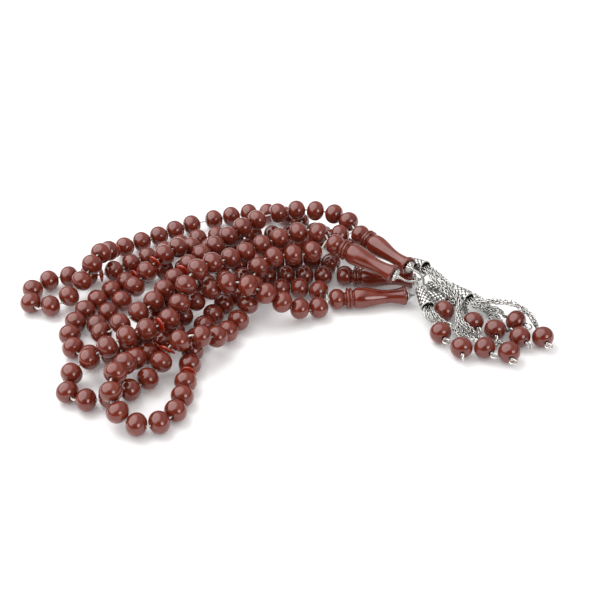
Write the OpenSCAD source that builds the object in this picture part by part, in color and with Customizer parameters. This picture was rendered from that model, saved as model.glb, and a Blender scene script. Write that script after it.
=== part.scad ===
// Misbaha: a bundle of five strings of prayer beads, lying across each other on a flat surface.
// Each string has 33 beads in three groups of 11, two separator discs, a turned imam bead
// and a silver tassel with a lattice cap, chains and two pendant beads.
// The origin is on the flat surface, at the middle of the bundle. X is to the tassels, Z is up.

/* [Beads] */
// Diameter of a counting bead, across the string
bead_d = 9.7; // [9.5:0.1:9.7]
// Length of a counting bead, along the string
bead_l = 8.4; // [8.3:0.1:8.4]
// Diameter of the bore through a bead
bore_d = 1.6; // [1.4:0.1:2]
// Diameter of a separator disc
disc_d = 7; // [6:0.5:8]
// Thickness of a separator disc at its middle
disc_l = 2; // [1.8:0.1:2]
// Thickness of a separator disc at its rim
disc_rim = 0.6; // [0.4:0.1:1]

/* [Cord] */
// Diameter of the cord
cord_d = 0.9; // [0.7:0.1:1]
// Room that the sliding bead has along its string
slide_room = 2.4; // [2:0.1:2.4]

/* [Imam] */
// Length of the imam
imam_l = 35; // [34.6:0.1:35]
// Diameter of the imam's bore
imam_bore_d = 2.4; // [2.2:0.1:2.6]
// Diameter of the funnel at the imam's mouth
mouth_d = 3.6; // [3:0.2:4]
// Depth of the funnel at the imam's mouth
mouth_depth = 1.6; // [1:0.2:2]
// Diameter of the pocket for the knot in the imam's end
pocket_d = 3.6; // [3.4:0.1:4]
// Depth of the pocket for the knot
pocket_depth = 4.5; // [4.3:0.1:6]
// Diameter of the knot
knot_d = 3; // [2.6:0.1:3]

/* [Tassel] */
// Length of the lattice cap
cap_l = 12.5; // [12:0.1:12.5]
// Depth of the hollow in the cap's mouth
cap_hollow = 5; // [4:0.5:6]
// Outer diameter of the lattice cap at its mouth
cap_mouth_d = 6.6; // [6.4:0.1:6.6]
// Outer diameter of the flat top of the cap
cap_top_d = 2; // [1.6:0.2:2.4]
// Wall of the lattice cap
cap_wall = 0.6; // [0.5:0.1:0.6]
// Diameter of one bundle of chains
bundle_d = 2.2; // [1.8:0.1:2.2]
// Diameter of the twisted wire that holds the cap
link_d = 1.2; // [0.8:0.1:1.2]
// Wire diameter of the headpins and their eyes
wire_d = 0.9; // [0.7:0.1:0.9]
// Mean diameter of the eye of a headpin
eye_d = 3; // [2.4:0.2:3]

/* [Hidden] */
$fn = 40;

STRANDS = [1, 2, 3, 4, 5];

// Nodes of each string
KINDS = [
  "cord", "beads_first_half", "beads_second_half", "counting_bead",
  "separator_first", "separator_second", "imam", "bail", "lattice_cap", "chains",
  "pendant_bead_left", "pendant_bead_right"
];

// Colours of the materials
resin_colour = [0.40, 0.13, 0.10];
disc_colour = [0.62, 0.14, 0.07];
cord_colour = [0.93, 0.92, 0.88];
silver_colour = [0.72, 0.71, 0.68];

// Mouth of each imam's head, and a point on its axis near the flared end
IMAMS = [
  [[13, -6, 5], [48, -3, 5]],
  [[13, 17, 21], [42, -2, 16]],
  [[26, 33, 15], [49, 7, 14]],
  [[4, 49, 5], [33, 29, 5]],
  [[17, 12, 5], [52, 9, 5]]
];

// Points that each string passes near, from its imam's mouth round and back to it
ROUTES = [
  [
    [12, -10, 5], [7, -13, 5], [0, -15, 6], [-7, -15, 10], [-14, -15, 15], [-22, -15, 20],
    [-31, -12, 20], [-39, -11, 15], [-45, -12, 11], [-51, -17, 7], [-54, -26, 5], [-58, -35, 5],
    [-63, -42, 5], [-67, -48, 8], [-71, -56, 12], [-74, -65, 16], [-76, -73, 15], [-74, -81, 9],
    [-67, -86, 5], [-57, -86, 5], [-49, -78, 5], [-48, -68, 5], [-47, -58, 5], [-46, -48, 5],
    [-46, -39, 5], [-44, -30, 5], [-41, -22, 5], [-37, -14, 5], [-32, -6, 5], [-25, -1, 5],
    [-17, 1, 5], [-8, 2, 5], [0, 3, 5], [7, 2, 5], [12, -2, 5]
  ],
  [
    [12, 20, 22], [8, 24, 22], [0, 25, 21], [-8, 21, 20], [-16, 18, 19], [-24, 13, 18],
    [-31, 6, 19], [-38, -1, 22], [-43, -7, 25], [-48, -13, 24], [-51, -20, 19], [-53, -28, 15],
    [-59, -37, 16], [-67, -41, 16], [-74, -45, 16], [-81, -50, 14], [-90, -53, 9], [-96, -57, 6],
    [-98, -64, 5], [-93, -71, 5], [-85, -72, 5], [-78, -70, 5], [-70, -66, 5], [-63, -60, 5], [-58, -53, 8],
    [-54, -46, 13], [-47, -44, 16], [-40, -42, 14], [-35, -36, 8], [-31, -28, 5], [-26, -19, 5],
    [-22, -12, 9], [-21, -4, 15], [-18, 5, 18], [-10, 10, 18], [-2, 11, 17], [5, 12, 18],
    [10, 14, 19]
  ],
  [
    [25, 37, 15], [23, 43, 15], [18, 48, 15], [9, 50, 15], [0, 50, 16], [-9, 48, 16],
    [-17, 44, 16], [-24, 38, 16], [-31, 31, 16], [-37, 24, 15], [-43, 17, 15], [-49, 9, 15],
    [-54, 0, 15], [-59, -10, 15], [-63, -19, 15], [-67, -26, 15], [-75, -31, 14], [-82, -35, 10],
    [-89, -33, 6], [-90, -26, 5], [-86, -17, 5], [-79, -8, 6], [-75, -1, 8], [-70, 5, 12],
    [-64, 12, 15], [-58, 20, 15], [-52, 28, 10], [-44, 32, 5], [-34, 33, 5], [-22, 33, 5],
    [-10, 33, 5], [2, 34, 7], [11, 34, 11], [19, 32, 14], [23, 31, 15]
  ],
  [
    [3, 52, 5], [-2, 58, 5], [-10, 62, 5], [-19, 64, 5], [-29, 62, 5], [-38, 59, 5],
    [-47, 56, 5], [-55, 52, 5], [-63, 47, 5], [-70, 42, 5], [-78, 38, 5], [-85, 33, 5],
    [-89, 27, 8], [-91, 20, 13], [-93, 12, 16], [-96, 4, 13], [-101, -3, 8], [-108, -10, 5],
    [-115, -13, 5], [-122, -10, 5], [-124, -2, 5], [-119, 6, 5], [-110, 11, 5], [-90, 13, 5],
    [-81, 19, 5], [-74, 25, 5], [-67, 29, 5], [-60, 34, 5], [-52, 40, 5], [-43, 43, 5],
    [-33, 44, 5], [-22, 44, 5], [-11, 44, 5], [0, 46, 5]
  ],
  [
    [15, 12, 5], [8, 12, 5], [-2, 12, 5], [-12, 12, 5], [-22, 11, 5], [-32, 9, 5],
    [-42, 6, 5], [-51, 0, 5], [-58, -7, 5], [-62, -16, 5], [-65, -25, 5], [-69, -34, 5],
    [-76, -41, 5], [-84, -45, 5], [-93, -44, 5], [-99, -37, 5], [-100, -27, 5], [-96, -15, 5],
    [-92, -7, 5], [-85, 1, 5], [-79, 8, 5], [-72, 14, 5], [-63, 17, 5], [-53, 16, 5],
    [-43, 18, 5], [-33, 20, 5], [-22, 22, 5], [-11, 22, 5], [0, 23, 5], [8, 26, 5],
    [13, 24, 5], [17, 18, 5]
  ]
];

// Which piece of each string slides, counted from its first bead
SLIDERS = [31, 5, 4, 5, 3];

// Top of each lattice cap, and a point that its mouth faces
CAPS = [
  [[53.5, -3.5, 10], [57, -18, 8]],
  [[55, 0.5, 3.6], [67, -5, 3.6]],
  [[58, 6.5, 3.6], [70, 3, 3.6]],
  [[50, 17.5, 9.5], [57, 8, 12.5]],
  [[67.5, -1, 9], [75, -11, 9]]
];

// Points that the twisted wire passes, from each imam's end to its cap
LINKS = [
  [[52.3, -2.2, 5.8], [53.2, -1.3, 8]],
  [[48, -3.6, 13.5], [52, -0.5, 11], [53.5, 1, 7.5], [54, 1, 4.6]],
  [[54, 3.5, 12.5], [56, 4.5, 9], [56.6, 6.2, 5]],
  [[40, 25, 6.5], [45, 21, 9]],
  [[57.5, 10.5, 6], [60, 9.5, 8.5], [64, 4, 10.5]]
];

// For each string two bundles of chains, one on each side of its cap: the points that it passes,
// the centre of its pendant bead, the direction of the bead's headpin and the turn of its eye
PENDANTS = [
  [
    [[[59, -19, 7], [62, -21.5, 5], [65.5, -23, 4], [68, -26.5, 4], [68.8, -30, 4.4]],
      [69, -39, 5], [0, -1, 0], 0],
    [[[56, -20, 7.4], [57.8, -22, 6]], [61, -29, 5], [3, -9, 0], 90]
  ],
  [
    [[[71, -5, 3], [73.5, -8.5, 3], [74, -12.5, 4]], [76, -22, 5], [3, -8, 0], 0],
    [[[69, -6.6, 4], [70.8, -7.6, 4.5], [71, -9, 4.8], [70, -10, 5]], [64, -14, 5], [-8, -6, 0], 0]
  ],
  [
    [[[76, 2.5, 3], [83, -5, 3], [87, -14, 3], [89, -21.5, 2.6], [90.4, -25, 3]], [95, -32, 5], [5, -8, 0], 0],
    [[[75, 0, 3], [80, -7, 3], [83.5, -15, 4]], [85, -27, 5], [0, -1, 0], 0]
  ],
  [
    [[[61, 4, 13], [64.5, -2, 13], [68, -8, 12], [70.5, -13, 10], [70, -18, 8.5], [70, -23, 8],
      [72, -27.5, 7.5], [75, -30, 6], [78.5, -32, 3.2], [82, -33.3, 2.2], [86, -34, 3]],
      [89, -42, 5], [1, -8, 0], 90],
    [[[59, 3, 12.5], [62, -3, 11.5], [66, -8, 9.5], [70, -12, 7.5], [70.2, -16.5, 6],
      [69.6, -21, 5.4], [71, -27.5, 4], [73.5, -31.5, 4.4]], [79, -39, 5], [5, -8, 0], 90]
  ],
  [
    [[[80, -13, 9.5], [85, -14, 10.5], [91, -16, 11.4], [96, -19.5, 12], [101, -24, 9.5]],
      [105, -32, 5], [1, -4, 0], 90],
    [[[78, -15, 8.5], [83.5, -15.5, 7.6], [88, -15.5, 6.5]], [95, -21, 5], [8, -6, 0], 0]
  ]
];

// Distance from an imam's mouth and radius there, along the outside of the imam
PROFILE = [
  [0, 2.3], [1.4, 4.2], [3.6, 4.8], [6, 4.2], [7.6, 3.1], [8.6, 3.9], [9.3, 4.8], [10.1, 4.45],
  [10.9, 4.8], [11.7, 3.9], [12.4, 3.7], [14, 4.65], [16, 4.75], [20, 4.1], [24, 3.3],
  [28, 3.1], [32, 3.6], [34.4, 4.3], [35, 4.1]
];

// Height of the axis of a bead that lies on the surface, in the lists of points above
LYING = 5;
// From the lists of points above to the middle of the bundle
SHIFT = [8.3, 11.3, bead_d / 2 - LYING];
// Pieces on a string, and the places of the two discs among them
PIECES = 35;
FIRST_DISC = 11;
SECOND_DISC = 23;
// The last piece of the first half of a string
HALFWAY = 17;
// Steps from one point of a route to the next
STEPS = 8;
CHAIN_STEPS = 2;
// Sides of a cord, wire or bundle
SIDES = 8;
// Distance between two ends that meet
SEAM = 0.05;
// Distance of each run of the cord from the imam's axis
RUN_OFFSET = 0.5;
// Distance of each bundle from the cap's axis
BUNDLE_OFFSET = 1.15;
// Where the knot starts and ends, and where the bail's cup starts and ends, from the imam's mouth
KNOT_START = imam_l - 4;
KNOT_END = imam_l - 2;
CUP_START = imam_l + 0.3;
CUP_END = imam_l + 2.6;
// From the middle of a pendant bead to the inner end of its headpin
PIN_INNER = bead_l / 2 + 1.3;
// From the middle of a pendant bead to the middle of its eye
PIN_OUTER = bead_l / 2 + 0.5 + eye_d / 2;

function unit(v) = v / norm(v);
function total(list, n) = n < 1 ? 0 : list[n - 1] + total(list, n - 1);
function turn(u, v) = acos(min(1, u * v / (norm(u) * norm(v))));

// Point at t, from 0 at b to 1 at c, on the smooth curve through a, b, c and d
function between(a, b, c, d, t) =
  (2 * b + (c - a) * t + (2 * a - 5 * b + 4 * c - d) * t * t + (3 * b - a - 3 * c + d) * t * t * t) / 2;

// Smooth curve through a list of points, with some steps from each to the next
function smooth(points, steps) = let (
  last = len(points) - 1,
  p = concat([2 * points[0] - points[1]], points, [2 * points[last] - points[last - 1]])
) concat(
  [for (i = [1 : last], j = [0 : steps - 1]) between(p[i - 1], p[i], p[i + 1], p[i + 2], j / steps)],
  [points[last]]
);

// Distance along a curve to each of its points
function reach(curve) = [
  for (i = 0, s = 0; i < len(curve);
    i = i + 1, s = s + norm(curve[min(i, len(curve) - 1)] - curve[i - 1])) s
];

CURVES = [for (route = ROUTES) smooth(route, STEPS)];
REACHES = [for (curve = CURVES) reach(curve)];
LENGTHS = [for (r = REACHES) r[len(r) - 1]];
// X, Y and Z against the distance along each string
TRACKS = [
  for (k = STRANDS) [for (axis = [0 : 2]) [
    for (j = [0 : len(CURVES[k - 1]) - 1]) [REACHES[k - 1][j], CURVES[k - 1][j][axis]]
  ]]
];

// Point at a distance along string k, never lower than a lying bead's axis
function at(k, s) = let (t = TRACKS[k - 1])
  [lookup(s, t[0]), lookup(s, t[1]), max(LYING, lookup(s, t[2]))];

// Length that piece i takes on string k
function room(k, i) = i == FIRST_DISC || i == SECOND_DISC ? disc_l
  : i == SLIDERS[k - 1] ? bead_l + slide_room : bead_l;
function rooms(k) = [for (i = [0 : PIECES - 1]) room(k, i)];

// Gap that keeps two beads apart where the string turns between them
function turn_gap(a) = (bead_l + (bead_d - bead_l) * sin(a / 2)) / cos(a / 2) - bead_l;

// Distances along string k of the middles of its gaps, with its two ends
function stops(k, gaps) = concat(
  [0],
  [for (j = [1 : PIECES - 1]) total(rooms(k), j) + total(gaps, j) + gaps[j] / 2],
  [LENGTHS[k - 1]]
);

// Gap before each piece of string k: wider at a turn, and otherwise the spare length shared out
function gaps_of(k, gaps, passes) = passes == 0 ? gaps : let (
  s = stops(k, gaps),
  p = [for (v = s) at(k, v)],
  slack = [for (j = [0 : PIECES - 1]) s[j + 1] - s[j] - norm(p[j + 1] - p[j])],
  extra = [for (j = [0 : PIECES]) j == 0 || j == PIECES ? 0
    : turn_gap(turn(p[j] - p[j - 1], p[j + 1] - p[j])) + (slack[j - 1] + slack[j]) / 2],
  spare = (LENGTHS[k - 1] - total(rooms(k), PIECES) - total(extra, PIECES)) / PIECES
) gaps_of(k, [for (j = [0 : PIECES]) extra[j] + spare * (j == 0 || j == PIECES ? 0.5 : 1)], passes - 1);

GAPS = [
  for (k = STRANDS) let (even = (LENGTHS[k - 1] - total(rooms(k), PIECES)) / PIECES)
    gaps_of(k, [for (j = [0 : PIECES]) even * (j == 0 || j == PIECES ? 0.5 : 1)], 5)
];
// Corners of each string: it is straight from one to the next, through one piece
CORNERS = [for (k = STRANDS) [for (s = stops(k, GAPS[k - 1])) at(k, s)]];

// Direction and middle of piece i on string k
function heading(k, i) = unit(CORNERS[k - 1][i + 1] - CORNERS[k - 1][i]);
function middle(k, i) = let (
  a = CORNERS[k - 1][i],
  b = CORNERS[k - 1][i + 1],
  g = GAPS[k - 1],
  before = i == 0 ? g[0] : g[i] / 2,
  after = i == PIECES - 1 ? g[PIECES] : g[i + 1] / 2,
  half = i == FIRST_DISC || i == SECOND_DISC ? disc_l / 2 : bead_l / 2,
  part = (before + half) / (before + room(k, i) + after)
) a + (b - a) * part;

// Axis of the imam of string k, and a point beside it
function imam_axis(k) = unit(IMAMS[k - 1][1] - IMAMS[k - 1][0]);
function imam_side(k) = unit(cross(imam_axis(k), [0, 0, 1]));
function in_imam(k, h, offset) = IMAMS[k - 1][0] + imam_axis(k) * h + imam_side(k) * offset;

// The cord of string k: knot, out of the imam, round the beads and back to the knot
function cord_path(k) = let (
  c = CORNERS[k - 1],
  side = imam_side(k) * (c[0] - IMAMS[k - 1][0]) > 0 ? RUN_OFFSET : -RUN_OFFSET
) concat(
  [for (h = [KNOT_START - SEAM, 20, 10, 2.4, -0.8]) in_imam(k, h, side)],
  c,
  [for (h = [-0.8, 2.4, 10, 20, KNOT_START - SEAM]) in_imam(k, h, -side)]
);

// Axis of the cap of string k, and the middle of its mouth
function cap_axis(k) = unit(CAPS[k - 1][1] - CAPS[k - 1][0]);
function cap_point(k, h, offset) =
  CAPS[k - 1][0] + cap_axis(k) * h + unit(cross(cap_axis(k), [0, 0, 1])) * offset;

// The twisted wire of string k: from the cup to its cap, which it meets squarely
function link_path(k) = concat(
  smooth(concat(
    [in_imam(k, CUP_END + SEAM, 0), in_imam(k, CUP_END + 0.8, 0)],
    LINKS[k - 1],
    [cap_point(k, -1.2, 0)]
  ), CHAIN_STEPS),
  [cap_point(k, -SEAM, 0)]
);

// Centre and direction of pendant bead n of string k, and the bundle of chains to it
function pendant(k, n) = PENDANTS[k - 1][n][1];
function pin_axis(k, n) = unit(PENDANTS[k - 1][n][2]);
function bundle_path(k, n) = let (side = n == 0 ? -BUNDLE_OFFSET : BUNDLE_OFFSET) smooth(concat(
  [cap_point(k, cap_l - cap_hollow + SEAM, side), cap_point(k, cap_l + 0.5, side)],
  PENDANTS[k - 1][n][0],
  [pendant(k, n) - pin_axis(k, n) * (PIN_INNER + SEAM)]
), CHAIN_STEPS);

// Stands the children's Z axis at point p along direction v
module along(p, v) {
  translate(p + SHIFT)
    rotate([0, acos(v.z / norm(v)), atan2(v.y, v.x)])
      children();
}

// Round tube along a list of points
module tube(path, d) {
  last = len(path) - 1;
  rings = [for (i = [0 : last]) let (
    back = i == 0 ? path[1] - path[0] : path[i] - path[i - 1],
    on = i == last ? path[last] - path[last - 1] : path[i + 1] - path[i],
    ahead = unit(unit(back) + unit(on)),
    side = unit(cross(ahead, [0, 0, 1])),
    up = cross(side, ahead)
  ) for (j = [0 : SIDES - 1]) SHIFT + path[i] + (side * cos(360 * j / SIDES) + up * sin(360 * j / SIDES)) * d / 2];
  walls = [for (i = [0 : last - 1], j = [0 : SIDES - 1]) let (
    a = i * SIDES + j,
    b = i * SIDES + (j + 1) % SIDES
  ) each [[a, b, b + SIDES], [a, b + SIDES, a + SIDES]]];
  ends = [[for (j = [SIDES - 1 : -1 : 0]) j], [for (j = [0 : SIDES - 1]) last * SIDES + j]];
  polyhedron(rings, concat(walls, ends));
}

// Bead with rounded sides, a little shorter than it is wide, drilled along Z
module bead() {
  rotate_extrude()
    intersection() {
      translate([(bead_d - bead_l) / 2, 0])
        circle(d = bead_l);
      translate([bore_d / 2, -bead_l])
        square([bead_d, 2 * bead_l]);
    }
}

// Lens-shaped disc, drilled along Z
module disc() {
  radii = [for (i = [0 : 5]) bore_d / 2 + (disc_d - bore_d) / 2 * i / 5];
  half = [for (r = radii) disc_l / 2 - (disc_l - disc_rim) / 2 * pow(2 * r / disc_d, 2)];
  rotate_extrude()
    polygon(concat(
      [for (i = [0 : 5]) [radii[i], -half[i]]],
      [for (i = [5 : -1 : 0]) [radii[i], half[i]]]
    ));
}

module beads(k, first, last) {
  color(resin_colour)
    for (i = [first : last])
      if (i != FIRST_DISC && i != SECOND_DISC && i != SLIDERS[k - 1])
        along(middle(k, i), heading(k, i))
          bead();
}

module counting_bead(k) {
  color(resin_colour)
    along(middle(k, SLIDERS[k - 1]), heading(k, SLIDERS[k - 1]))
      bead();
}

module separator(k, i) {
  color(disc_colour)
    along(middle(k, i), heading(k, i))
      disc();
}

// Cord and the knot that holds its two ends
module cord(k) {
  color(cord_colour) {
    tube(cord_path(k), cord_d);
    along(in_imam(k, (KNOT_START + KNOT_END) / 2, 0), imam_axis(k))
      rotate_extrude()
        intersection() {
          circle(d = knot_d);
          translate([0, (KNOT_START - KNOT_END) / 2])
            square([knot_d, KNOT_END - KNOT_START]);
        }
  }
}

// Turned imam: head ball, groove, ridged collar, waisted body and flared end, with a stepped bore
module imam(k) {
  outside = smooth(PROFILE, 2);
  color(resin_colour)
    along(in_imam(k, 0, 0), imam_axis(k))
      rotate_extrude()
        polygon(concat(
          [for (p = outside) [p[1], p[0] * imam_l / 35]],
          [
            [pocket_d / 2, imam_l],
            [pocket_d / 2, imam_l - pocket_depth],
            [imam_bore_d / 2, imam_l - pocket_depth],
            [imam_bore_d / 2, mouth_depth],
            [mouth_d / 2, 0]
          ]
        ));
}

// Bail: stem from the knot, cup beyond the imam's end, and the twisted wire to the cap
module bail(k) {
  color(silver_colour) {
    along(in_imam(k, 0, 0), imam_axis(k))
      rotate_extrude()
        polygon([
          [0, KNOT_END + SEAM],
          [0.8, KNOT_END + SEAM],
          [0.8, CUP_START],
          [2.4, CUP_START],
          [2.7, CUP_START + 0.5],
          [2.3, CUP_START + 1.3],
          [1.2, CUP_START + 1.8],
          [0.9, CUP_END],
          [0, CUP_END]
        ]);
    tube(link_path(k), link_d);
  }
}

// Cap: a slender bell, solid at the top and hollow at the mouth
module lattice_cap(k) {
  floor_at = cap_l - cap_hollow;
  mouth_r = cap_mouth_d / 2;
  color(silver_colour)
    along(cap_point(k, 0, 0), cap_axis(k))
      rotate_extrude()
        polygon([
          [0, 0],
          [cap_top_d / 2, 0],
          [0.58 * mouth_r, 0.8],
          [0.7 * mouth_r, 2],
          [0.78 * mouth_r, 4],
          [0.9 * mouth_r, floor_at],
          [mouth_r, cap_l],
          [mouth_r - cap_wall, cap_l],
          [0.9 * mouth_r - cap_wall, floor_at],
          [0, floor_at]
        ]);
}

// Wire through a pendant bead with an eye at its outer end
module headpin(k, n) {
  along(pendant(k, n) - pin_axis(k, n) * PIN_INNER, pin_axis(k, n)) {
    cylinder(d = wire_d, h = PIN_INNER + PIN_OUTER - eye_d / 2);
    translate([0, 0, PIN_INNER + PIN_OUTER])
      rotate([0, 0, PENDANTS[k - 1][n][3]])
        rotate([0, 90, 0])
          rotate_extrude()
            translate([eye_d / 2, 0])
              circle(d = wire_d);
  }
}

// Two bundles of chains and the headpins at their ends
module chains(k) {
  color(silver_colour)
    for (n = [0, 1]) {
      tube(bundle_path(k, n), bundle_d);
      headpin(k, n);
    }
}

module pendant_bead(k, n) {
  color(resin_colour)
    along(pendant(k, n), pin_axis(k, n))
      bead();
}

for (k = STRANDS) {
  cord(k);
  beads(k, 0, HALFWAY);
  beads(k, HALFWAY + 1, PIECES - 1);
  counting_bead(k);
  separator(k, FIRST_DISC);
  separator(k, SECOND_DISC);
  imam(k);
  bail(k);
  lattice_cap(k);
  chains(k);
  pendant_bead(k, 1);
  pendant_bead(k, 0);
}
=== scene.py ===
"""Looks for a bundle of five misbahas: strings of resin prayer beads with silver tassels.

Each CAD node is replaced by one finely made piece on the same body. The layout functions repeat
those of the part's own source, so each piece lies where its CAD node is. Only the imam's collar
is shaped a little differently from the CAD's.
Layout lengths are in millimetres; meshes are made in metres.
"""
import math

import bpy
import numpy as np
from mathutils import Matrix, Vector


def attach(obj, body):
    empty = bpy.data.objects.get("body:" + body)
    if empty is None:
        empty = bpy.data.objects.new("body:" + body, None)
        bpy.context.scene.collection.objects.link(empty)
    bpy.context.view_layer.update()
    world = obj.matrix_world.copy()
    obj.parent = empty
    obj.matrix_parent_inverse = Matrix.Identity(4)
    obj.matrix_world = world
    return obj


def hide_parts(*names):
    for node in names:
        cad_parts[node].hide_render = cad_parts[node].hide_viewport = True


MM = 0.001
STRANDS = range(5)

# Beads
BEAD_D = 9.7
BEAD_L = 8.4
BORE_D = 1.6
DISC_D = 7
DISC_L = 2
DISC_RIM = 0.6
PIECES = 35
FIRST_DISC = 11
SECOND_DISC = 23
HALFWAY = 17
SLIDERS = [31, 5, 4, 5, 3]
SLIDE_ROOM = 2.4

# Imam
IMAM_L = 35
IMAM_BORE_D = 2.4
POCKET_D = 3.6
POCKET_DEPTH = 4.5
KNOT_START = IMAM_L - 4
KNOT_END = IMAM_L - 2
CUP_START = IMAM_L + 0.3
CUP_END = IMAM_L + 2.6

# Cord
CORD_R = 0.39
CORD_LOBE = 0.06
CORD_LAY = 1.3
CORD_BEND = 0.7
CORD_FUZZ = 0.03

# Tassel
CAP_L = 12.5
CAP_HOLLOW = 5
CAP_WALL = 0.6
CAP_R = 3.3
EYE_R = 1.5
BUNDLE_OFFSET = 1.15
CHAINS = 4
LINK_PITCH = 1.85
LINK_SWAY = 0.18
LINK_TILT = 0.05
BUNDLE_TWIST = 17
BUNDLE_CORE = 0.42
BUNDLE_FLARE = 0.4
PIN_WIRE_R = 0.32
PIN_INNER = BEAD_L / 2 + 1.3
PIN_OUTER = BEAD_L / 2 + 0.5 + EYE_R

# Layout
LYING = 5
SHIFT = np.array([8.3, 11.3, BEAD_D / 2 - LYING])
STEPS = 8
SEAM = 0.05
RUN_OFFSET = 0.5
UP = np.array([0.0, 0.0, 1.0])

# Mouth of each imam's head, and a point on its axis near the flared end
IMAMS = [
    [[13, -6, 5], [48, -3, 5]],
    [[13, 17, 21], [42, -2, 16]],
    [[26, 33, 15], [49, 7, 14]],
    [[4, 49, 5], [33, 29, 5]],
    [[17, 12, 5], [52, 9, 5]],
]

# Points that each string passes near, from its imam's mouth round and back to it
ROUTES = [
    [
        [12, -10, 5], [7, -13, 5], [0, -15, 6], [-7, -15, 10], [-14, -15, 15], [-22, -15, 20],
        [-31, -12, 20], [-39, -11, 15], [-45, -12, 11], [-51, -17, 7], [-54, -26, 5], [-58, -35, 5],
        [-63, -42, 5], [-67, -48, 8], [-71, -56, 12], [-74, -65, 16], [-76, -73, 15], [-74, -81, 9],
        [-67, -86, 5], [-57, -86, 5], [-49, -78, 5], [-48, -68, 5], [-47, -58, 5], [-46, -48, 5],
        [-46, -39, 5], [-44, -30, 5], [-41, -22, 5], [-37, -14, 5], [-32, -6, 5], [-25, -1, 5],
        [-17, 1, 5], [-8, 2, 5], [0, 3, 5], [7, 2, 5], [12, -2, 5],
    ],
    [
        [12, 20, 22], [8, 24, 22], [0, 25, 21], [-8, 21, 20], [-16, 18, 19], [-24, 13, 18],
        [-31, 6, 19], [-38, -1, 22], [-43, -7, 25], [-48, -13, 24], [-51, -20, 19], [-53, -28, 15],
        [-59, -37, 16], [-67, -41, 16], [-74, -45, 16], [-81, -50, 14], [-90, -53, 9], [-96, -57, 6],
        [-98, -64, 5], [-93, -71, 5], [-85, -72, 5], [-78, -70, 5], [-70, -66, 5], [-63, -60, 5],
        [-58, -53, 8], [-54, -46, 13], [-47, -44, 16], [-40, -42, 14], [-35, -36, 8], [-31, -28, 5],
        [-26, -19, 5], [-22, -12, 9], [-21, -4, 15], [-18, 5, 18], [-10, 10, 18], [-2, 11, 17],
        [5, 12, 18], [10, 14, 19],
    ],
    [
        [25, 37, 15], [23, 43, 15], [18, 48, 15], [9, 50, 15], [0, 50, 16], [-9, 48, 16],
        [-17, 44, 16], [-24, 38, 16], [-31, 31, 16], [-37, 24, 15], [-43, 17, 15], [-49, 9, 15],
        [-54, 0, 15], [-59, -10, 15], [-63, -19, 15], [-67, -26, 15], [-75, -31, 14], [-82, -35, 10],
        [-89, -33, 6], [-90, -26, 5], [-86, -17, 5], [-79, -8, 6], [-75, -1, 8], [-70, 5, 12],
        [-64, 12, 15], [-58, 20, 15], [-52, 28, 10], [-44, 32, 5], [-34, 33, 5], [-22, 33, 5],
        [-10, 33, 5], [2, 34, 7], [11, 34, 11], [19, 32, 14], [23, 31, 15],
    ],
    [
        [3, 52, 5], [-2, 58, 5], [-10, 62, 5], [-19, 64, 5], [-29, 62, 5], [-38, 59, 5],
        [-47, 56, 5], [-55, 52, 5], [-63, 47, 5], [-70, 42, 5], [-78, 38, 5], [-85, 33, 5],
        [-89, 27, 8], [-91, 20, 13], [-93, 12, 16], [-96, 4, 13], [-101, -3, 8], [-108, -10, 5],
        [-115, -13, 5], [-122, -10, 5], [-124, -2, 5], [-119, 6, 5], [-110, 11, 5], [-90, 13, 5],
        [-81, 19, 5], [-74, 25, 5], [-67, 29, 5], [-60, 34, 5], [-52, 40, 5], [-43, 43, 5],
        [-33, 44, 5], [-22, 44, 5], [-11, 44, 5], [0, 46, 5],
    ],
    [
        [15, 12, 5], [8, 12, 5], [-2, 12, 5], [-12, 12, 5], [-22, 11, 5], [-32, 9, 5],
        [-42, 6, 5], [-51, 0, 5], [-58, -7, 5], [-62, -16, 5], [-65, -25, 5], [-69, -34, 5],
        [-76, -41, 5], [-84, -45, 5], [-93, -44, 5], [-99, -37, 5], [-100, -27, 5], [-96, -15, 5],
        [-92, -7, 5], [-85, 1, 5], [-79, 8, 5], [-72, 14, 5], [-63, 17, 5], [-53, 16, 5],
        [-43, 18, 5], [-33, 20, 5], [-22, 22, 5], [-11, 22, 5], [0, 23, 5], [8, 26, 5],
        [13, 24, 5], [17, 18, 5],
    ],
]

# Top of each lattice cap, and a point that its mouth faces
CAPS = [
    [[53.5, -3.5, 10], [57, -18, 8]],
    [[55, 0.5, 3.6], [67, -5, 3.6]],
    [[58, 6.5, 3.6], [70, 3, 3.6]],
    [[50, 17.5, 9.5], [57, 8, 12.5]],
    [[67.5, -1, 9], [75, -11, 9]],
]

# Points that the twisted wire passes, from each imam's end to its cap
LINKS = [
    [[52.3, -2.2, 5.8], [53.2, -1.3, 8]],
    [[48, -3.6, 13.5], [52, -0.5, 11], [53.5, 1, 7.5], [54, 1, 4.6]],
    [[54, 3.5, 12.5], [56, 4.5, 9], [56.6, 6.2, 5]],
    [[40, 25, 6.5], [45, 21, 9]],
    [[57.5, 10.5, 6], [60, 9.5, 8.5], [64, 4, 10.5]],
]

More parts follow.
